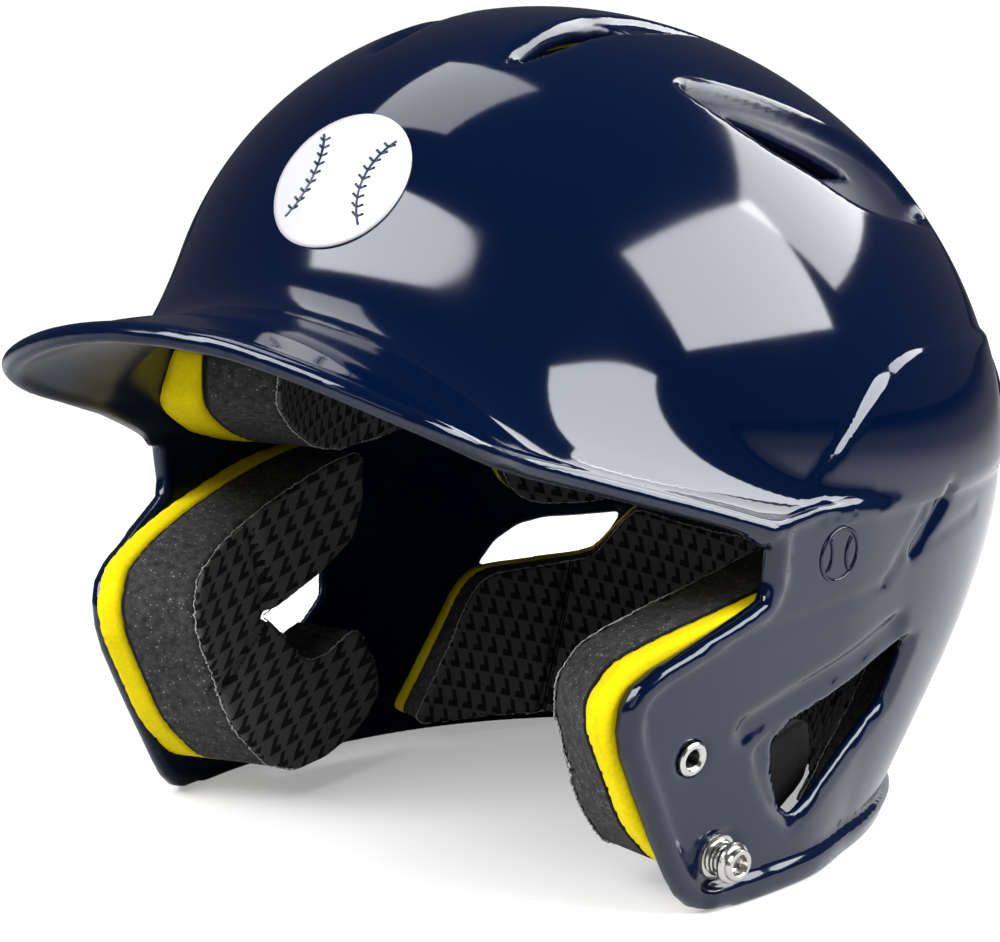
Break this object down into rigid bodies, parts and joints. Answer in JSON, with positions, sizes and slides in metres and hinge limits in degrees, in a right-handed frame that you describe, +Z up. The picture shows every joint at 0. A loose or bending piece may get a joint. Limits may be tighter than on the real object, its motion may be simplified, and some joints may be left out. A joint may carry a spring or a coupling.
{
  "type": "batting helmet",
  "caption": "Hard-shell batting helmet with a short bill, a flap over each ear, vents, laminated foam pads and chin-strap studs.",
  "frame": {"origin": "centre of the overall box, on the plane that the lower rim stands on", "axes": "+Z up through the crown, -Y towards the bill, +X towards the wearer's left ear"},
  "size_m": [0.206, 0.2814, 0.2076],
  "materials": {
    "shell": "high gloss, moulded, deep navy",
    "base_foam": "bright yellow closed-cell foam, cut edges",
    "comfort_foam": "dark grey closed-cell foam, cut edges",
    "liner_fabric": "black knitted facing with small raised ticks",
    "hardware": "bright nickel plate",
    "emblem": "thin white printed sticker"
  },
  "bodies": {
    "root": {"shell": "shell", "ear_pad_left_base": "base_foam", "ear_pad_left_comfort": "comfort_foam", "ear_pad_left_liner": "liner_fabric", "side_pad_left_base": "base_foam", "side_pad_left_comfort": "comfort_foam", "side_pad_left_liner": "liner_fabric", "guard_insert_left": "hardware", "strap_stud_left": "hardware", "ear_pad_right_base": "base_foam", "ear_pad_right_comfort": "comfort_foam", "ear_pad_right_liner": "liner_fabric", "side_pad_right_base": "base_foam", "side_pad_right_comfort": "comfort_foam", "side_pad_right_liner": "liner_fabric", "guard_insert_right": "hardware", "strap_stud_right": "hardware", "nape_pad_base": "base_foam", "nape_pad_comfort": "comfort_foam", "nape_pad_liner": "liner_fabric", "rear_pad_base": "base_foam", "rear_pad_comfort": "comfort_foam", "rear_pad_liner": "liner_fabric", "brow_pad_base": "base_foam", "brow_pad_comfort": "comfort_foam", "brow_pad_liner": "liner_fabric", "crown_pad_base": "base_foam", "crown_pad_comfort": "comfort_foam", "crown_pad_liner": "liner_fabric", "front_emblem": "emblem"}
  },
  "joints": []
}
